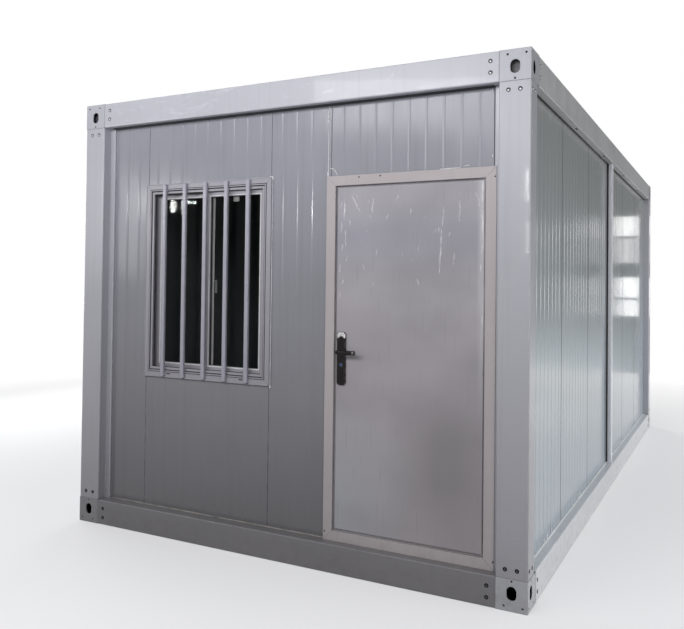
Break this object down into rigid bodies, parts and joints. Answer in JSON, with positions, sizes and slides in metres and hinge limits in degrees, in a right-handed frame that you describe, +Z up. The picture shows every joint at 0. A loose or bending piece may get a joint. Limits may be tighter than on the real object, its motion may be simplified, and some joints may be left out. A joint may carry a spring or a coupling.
{
  "type": "flat-pack container cabin",
  "caption": "Box-shaped site cabin with a steel frame on slotted corner fittings, fluted panel walls, a hinged door with a lever handle and a barred sliding window.",
  "frame": {"origin": "middle of the base, on the ground", "axes": "+Z up, +Y along the length towards the rear, +X to the right seen from the front"},
  "size_m": [3, 5.95, 2.8],
  "materials": {
    "frame_paint": "glossy pale grey paint, scuffed",
    "front_panel_skin": "satin grey coil coat",
    "side_panel_skin": "satin pale grey coil coat",
    "floor_sheet": "matt floor board",
    "joist_steel": "galvanized, dull",
    "ceiling_skin": "satin white",
    "roof_skin": "weathered grey coat",
    "window_profile": "white, slightly soiled",
    "window_glass": "clear, dark room behind",
    "latch_plastic": "pale grey, moulded",
    "bar_paint": "white gloss paint",
    "door_frame_paint": "satin warm grey",
    "door_leaf_paint": "satin grey, scratched",
    "hinge_steel": "plain steel",
    "handle_bronze": "dark bronze plating",
    "lock_metal": "worn steel"
  },
  "bodies": {
    "house": {"corner_post_front_left": "frame_paint", "corner_post_front_right": "frame_paint", "corner_post_rear_left": "frame_paint", "corner_post_rear_right": "frame_paint", "lower_corner_fittings": "frame_paint", "upper_corner_fittings": "frame_paint", "front_bottom_beam": "frame_paint", "rear_bottom_beam": "frame_paint", "left_bottom_beam": "frame_paint", "right_bottom_beam": "frame_paint", "front_top_beam": "frame_paint", "rear_top_beam": "frame_paint", "left_top_beam": "frame_paint", "right_top_beam": "frame_paint", "left_mid_post": "frame_paint", "right_mid_post": "frame_paint", "floor_board": "floor_sheet", "floor_joists": "joist_steel", "ceiling_panel": "ceiling_skin", "roof_sheet": "roof_skin", "front_wall_left": "front_panel_skin", "front_wall_under_window": "front_panel_skin", "front_wall_over_window": "front_panel_skin", "front_wall_middle": "front_panel_skin", "front_wall_over_door": "front_panel_skin", "front_wall_right": "front_panel_skin", "rear_wall_panels": "front_panel_skin", "right_wall_front_panels": "side_panel_skin", "right_wall_rear_panels": "side_panel_skin", "left_wall_front_panels": "side_panel_skin", "left_wall_rear_panels": "side_panel_skin", "window_frame": "window_profile", "window_sash_left": "window_profile", "window_sash_right": "window_profile", "window_glass_left": "window_glass", "window_glass_right": "window_glass", "window_latch": "latch_plastic", "window_security_bars": "bar_paint", "door_frame": "door_frame_paint", "door_frame_hinges": "hinge_steel"},
    "door": {"door_leaf": "door_leaf_paint", "door_leaf_hinges": "hinge_steel", "door_handle_plates": "handle_bronze", "door_lock": "lock_metal"},
    "lever": {"door_lever": "handle_bronze"}
  },
  "joints": [
    {"name": "door_hinge", "type": "hinge", "parent": "house", "child": "door", "pos_m": [1.2715, -2.841, 1.19], "axis": [0, 0, -1], "range_deg": [0, 90]},
    {"name": "lever_turn", "type": "hinge", "parent": "door", "child": "lever", "pos_m": [0.43, -2.87, 1.226], "axis": [0, 1, 0], "range_deg": [0, 40], "stiffness_Nm_per_rad": 1.5, "springref_deg": -20.05}
  ]
}
